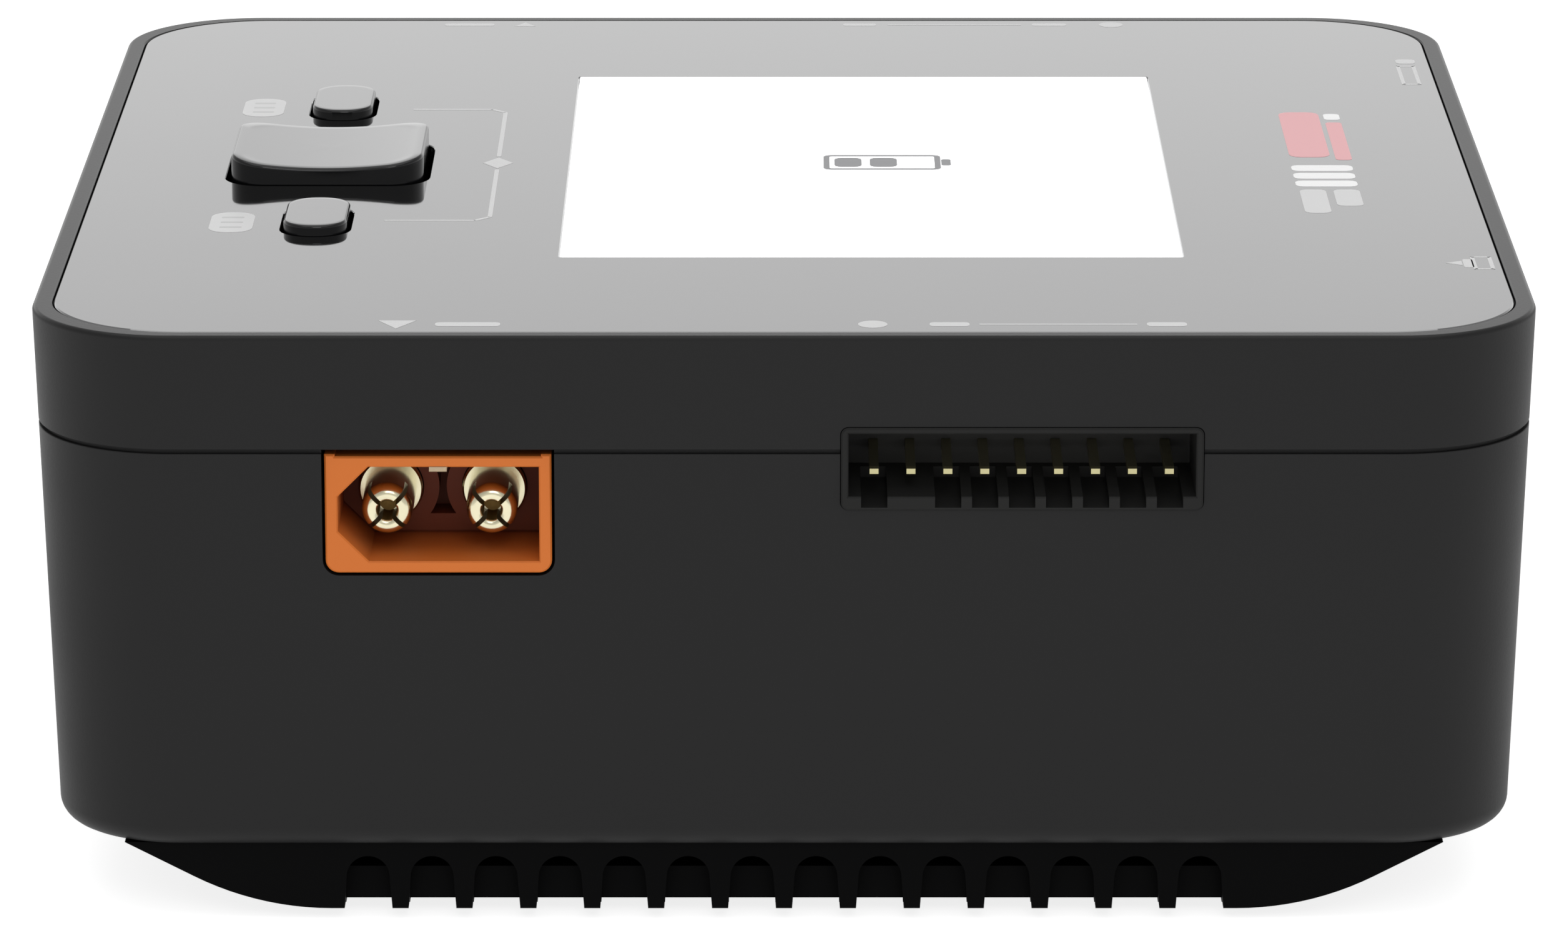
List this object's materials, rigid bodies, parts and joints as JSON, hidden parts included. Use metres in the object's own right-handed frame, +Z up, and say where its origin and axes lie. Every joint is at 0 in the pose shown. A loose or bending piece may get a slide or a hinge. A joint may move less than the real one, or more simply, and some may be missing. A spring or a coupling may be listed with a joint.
{
  "type": "balance battery charger",
  "caption": "Compact square battery charger with a glossy panel, screen window, rocker and small keys, power and balance sockets at front and back, and a vented base.",
  "frame": {"origin": "centre of the footprint, on the plane of the rubber feet", "axes": "+X right, +Y back, +Z up, as seen by a user at the front wall"},
  "size_m": [0.1028, 0.1042, 0.0438],
  "materials": {
    "case_black": "fine satin moulded plastic",
    "base_black": "dark satin moulded plastic",
    "panel_grey": "polished, printed from behind",
    "window_white": "polished window over a lit screen",
    "key_black": "polished",
    "connector_orange": "moulded nylon",
    "gold_plate": "gold-plated, polished",
    "header_black": "moulded nylon",
    "foot_rubber": "matte",
    "screw_black": "black-oxide steel",
    "steel": "bright",
    "insert_brass": "knurled",
    "adhesive_black": "double-sided tape",
    "lcd_glass": "display stack",
    "foam_black": "foam",
    "ribbon_amber": "polyimide film",
    "board_green": "solder mask over glass fibre",
    "bracket_black": "moulded plastic",
    "switch_grey": "moulded plastic",
    "fan_black": "moulded plastic",
    "bearing_bronze": "sintered bronze",
    "winding_copper": "enamelled copper winding",
    "magnet_grey": "bonded magnet",
    "wire_red": "insulated wire",
    "plug_cream": "moulded nylon",
    "sink_aluminium": "extruded",
    "pad_blue": "silicone pad",
    "chip_black": "moulded epoxy",
    "ferrite_grey": "pressed powder",
    "can_blue": "sleeved can"
  },
  "bodies": {
    "case": {"upper_shell": "case_black", "lower_shell": "case_black", "base_cover": "base_black", "rubber_feet": "foot_rubber", "case_screws": "screw_black", "threaded_inserts": "insert_brass", "top_panel": "panel_grey", "panel_adhesive": "adhesive_black", "display_lens": "window_white", "lcd_module": "lcd_glass", "lcd_cushion": "foam_black", "lcd_ribbon": "ribbon_amber", "main_board": "board_green", "board_screws": "steel", "rocker_pin": "steel", "key_bracket": "bracket_black", "switch_bodies": "switch_grey", "ch1_power_housing": "connector_orange", "ch1_power_pins": "gold_plate", "ch2_power_housing": "connector_orange", "ch2_power_pins": "gold_plate", "dc_input_housing": "connector_orange", "dc_input_pins": "gold_plate", "ch1_balance_header": "header_black", "ch1_balance_pins": "gold_plate", "ch2_balance_header": "header_black", "ch2_balance_pins": "gold_plate", "usb_shell": "steel", "usb_tongue": "header_black", "fan_frame": "fan_black", "fan_bearing": "bearing_bronze", "fan_stator": "winding_copper", "fan_screws": "steel", "fan_lead": "wire_red", "fan_connector": "plug_cream", "heat_sink": "sink_aluminium", "heat_sink_screws": "steel", "thermal_pad": "pad_blue", "power_transistors": "chip_black", "inductors": "ferrite_grey", "capacitors": "can_blue", "controller_chips": "chip_black", "shunt_resistors": "chip_black", "buzzer": "chip_black"},
    "fan": {"fan_rotor": "fan_black", "fan_shaft": "steel", "fan_magnet": "magnet_grey"},
    "rocker": {"rocker_key": "key_black"},
    "enter": {"enter_key": "key_black", "enter_plunger": "bracket_black"},
    "back": {"back_key": "key_black", "back_plunger": "bracket_black"},
    "up_click": {"up_plunger": "bracket_black"},
    "down_click": {"down_plunger": "bracket_black"}
  },
  "joints": [
    {"name": "rocker_tilt", "type": "hinge", "parent": "case", "child": "rocker", "pos_m": [-0.03325, 0, 0.0395], "axis": [0, 1, 0], "range_deg": [-2.8, 2.8], "stiffness_Nm_per_rad": 0.02},
    {"name": "enter_press", "type": "slide", "parent": "case", "child": "enter", "axis": [0, 0, -1], "range_m": [0, 0.00025], "stiffness_N_per_m": 600},
    {"name": "back_press", "type": "slide", "parent": "case", "child": "back", "axis": [0, 0, -1], "range_m": [0, 0.00025], "stiffness_N_per_m": 600},
    {"name": "up_press", "type": "slide", "parent": "case", "child": "up_click", "axis": [0, 0, -1], "range_m": [0, 0.00025], "stiffness_N_per_m": 300},
    {"name": "down_press", "type": "slide", "parent": "case", "child": "down_click", "axis": [0, 0, -1], "range_m": [0, 0.00025], "stiffness_N_per_m": 300},
    {"name": "fan_spin", "type": "hinge", "parent": "case", "child": "fan", "pos_m": [0, -0.012, 0.0191], "axis": [0, 0, 1], "continuous": true}
  ]
}
